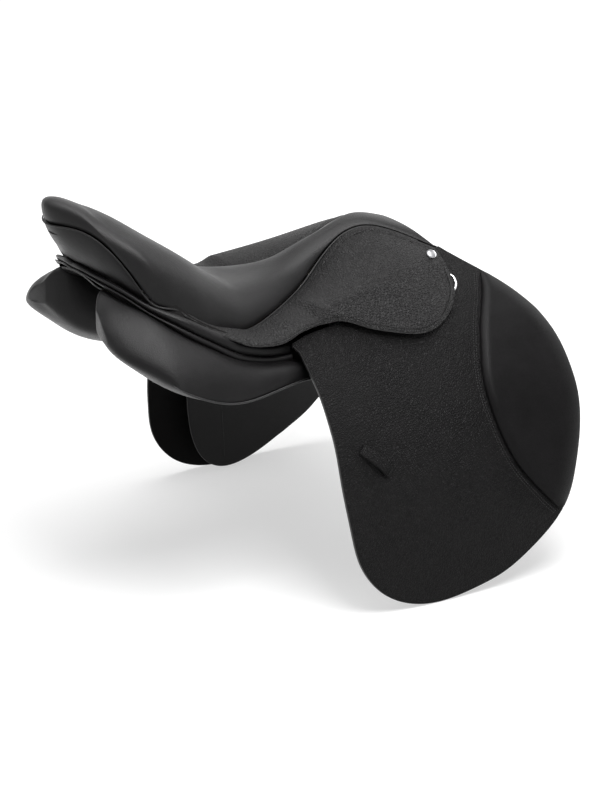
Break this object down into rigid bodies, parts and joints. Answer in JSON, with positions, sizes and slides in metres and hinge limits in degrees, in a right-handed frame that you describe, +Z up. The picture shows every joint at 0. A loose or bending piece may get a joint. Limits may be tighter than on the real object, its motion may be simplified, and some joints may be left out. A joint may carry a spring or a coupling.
{
  "type": "saddle",
  "caption": "English close-contact jumping saddle: tree, padded seat, flocked panels, hinged flaps and skirts with knee pads, stirrup bars, billets and dee rings.",
  "frame": {"origin": "on the centre plane, where the saddle rests on the horse's back under the lowest point of the seat", "axes": "+X toward the pommel, +Y to the rider's left, +Z up"},
  "size_m": [0.5436, 0.4994, 0.4388],
  "materials": {
    "leather": "satin",
    "panel": "soft satin",
    "foam": "matt",
    "web": "woven",
    "beech": "sanded",
    "plate_steel": "blued",
    "bar_steel": "satin",
    "nickel": "polished",
    "piping": "satin"
  },
  "bodies": {
    "saddle": {"cantle_back": "leather", "catch_pin_left": "bar_steel", "catch_pin_right": "bar_steel", "dee_chape_left": "leather", "dee_chape_right": "leather", "flap_root_left": "leather", "flap_root_right": "leather", "girth_web_front": "web", "girth_web_rear": "web", "gullet_lining": "leather", "head_plate": "plate_steel", "knee_block_left": "leather", "knee_block_right": "leather", "knee_pad_top_left": "leather", "knee_pad_top_right": "leather", "panel_left": "panel", "panel_piping_left": "piping", "panel_piping_right": "piping", "panel_right": "panel", "panel_roll_left": "leather", "panel_roll_right": "leather", "pommel_facing": "leather", "pommel_stud_left": "nickel", "pommel_stud_right": "nickel", "seat_cover": "leather", "seat_foam": "foam", "seat_webbing": "web", "seat_welt_left": "leather", "seat_welt_right": "leather", "skirt_left": "leather", "skirt_right": "leather", "spring_steel_left": "plate_steel", "spring_steel_right": "plate_steel", "stirrup_bar_bolt_left": "bar_steel", "stirrup_bar_bolt_right": "bar_steel", "stirrup_bar_left": "bar_steel", "stirrup_bar_right": "bar_steel", "sweat_flap_left": "leather", "sweat_flap_right": "leather", "tree": "beech"},
    "flap_left": {"flap_left": "leather", "knee_pad_left": "leather", "leather_keeper_left": "leather"},
    "skirt_lobe_left": {"skirt_lobe_left": "leather"},
    "catch_left": {"stirrup_bar_catch_left": "bar_steel"},
    "dee_left": {"dee_ring_left": "nickel"},
    "billets_left": {"billet_front_left": "leather", "billet_middle_left": "leather", "billet_rear_left": "leather"},
    "buckle_guard_left": {"buckle_guard_left": "leather"},
    "flap_right": {"flap_right": "leather", "knee_pad_right": "leather", "leather_keeper_right": "leather"},
    "skirt_lobe_right": {"skirt_lobe_right": "leather"},
    "catch_right": {"stirrup_bar_catch_right": "bar_steel"},
    "dee_right": {"dee_ring_right": "nickel"},
    "billets_right": {"billet_front_right": "leather", "billet_middle_right": "leather", "billet_rear_right": "leather"},
    "buckle_guard_right": {"buckle_guard_right": "leather"}
  },
  "joints": [
    {"name": "flap_lift_left", "type": "hinge", "parent": "saddle", "child": "flap_left", "pos_m": [0.12, 0.17242, 0.01843], "axis": [0.9999, 0.0134, 0], "range_deg": [0, 90]},
    {"name": "flap_lift_right", "type": "hinge", "parent": "saddle", "child": "flap_right", "pos_m": [0.12, -0.17242, 0.01843], "axis": [-0.9999, 0.0134, 0], "range_deg": [0, 90]},
    {"name": "skirt_lift_left", "type": "hinge", "parent": "saddle", "child": "skirt_lobe_left", "pos_m": [0.11925, 0.11438, 0.07527], "axis": [0.981, -0.1605, 0.1087], "range_deg": [0, 65]},
    {"name": "skirt_lift_right", "type": "hinge", "parent": "saddle", "child": "skirt_lobe_right", "pos_m": [0.11925, -0.11438, 0.07527], "axis": [-0.981, -0.1605, -0.1087], "range_deg": [0, 65]},
    {"name": "catch_open_left", "type": "hinge", "parent": "saddle", "child": "catch_left", "pos_m": [0.05, 0.1223, 0.05321], "axis": [0, -0.6884, -0.7254], "range_deg": [0, 85]},
    {"name": "catch_open_right", "type": "hinge", "parent": "saddle", "child": "catch_right", "pos_m": [0.05, -0.1223, 0.05321], "axis": [0, -0.6884, 0.7254], "range_deg": [0, 85]},
    {"name": "dee_swing_left", "type": "hinge", "parent": "saddle", "child": "dee_left", "pos_m": [0.1995, 0.11019, 0.06356], "axis": [0.2833, -0.7537, 0.593], "range_deg": [0, 14]},
    {"name": "dee_swing_right", "type": "hinge", "parent": "saddle", "child": "dee_right", "pos_m": [0.1995, -0.11019, 0.06356], "axis": [-0.2833, -0.7537, -0.593], "range_deg": [0, 14]},
    {"name": "billets_swing_left", "type": "hinge", "parent": "saddle", "child": "billets_left", "pos_m": [0.115, 0.13704, 0.01915], "axis": [0, 0.7071, 0.7071], "range_deg": [-5, 5]},
    {"name": "billets_swing_right", "type": "hinge", "parent": "saddle", "child": "billets_right", "pos_m": [0.115, -0.13704, 0.01915], "axis": [0, 0.7071, -0.7071], "range_deg": [-5, 5]},
    {"name": "guard_slide_left", "type": "hinge", "parent": "billets_left", "child": "buckle_guard_left", "pos_m": [0.115, -0.07006, -0.18799], "axis": [-1, 0, 0], "range_deg": [0, 10.5]},
    {"name": "guard_slide_right", "type": "hinge", "parent": "billets_right", "child": "buckle_guard_right", "pos_m": [0.115, 0.07006, -0.18799], "axis": [1, 0, 0], "range_deg": [0, 10.5]}
  ]
}
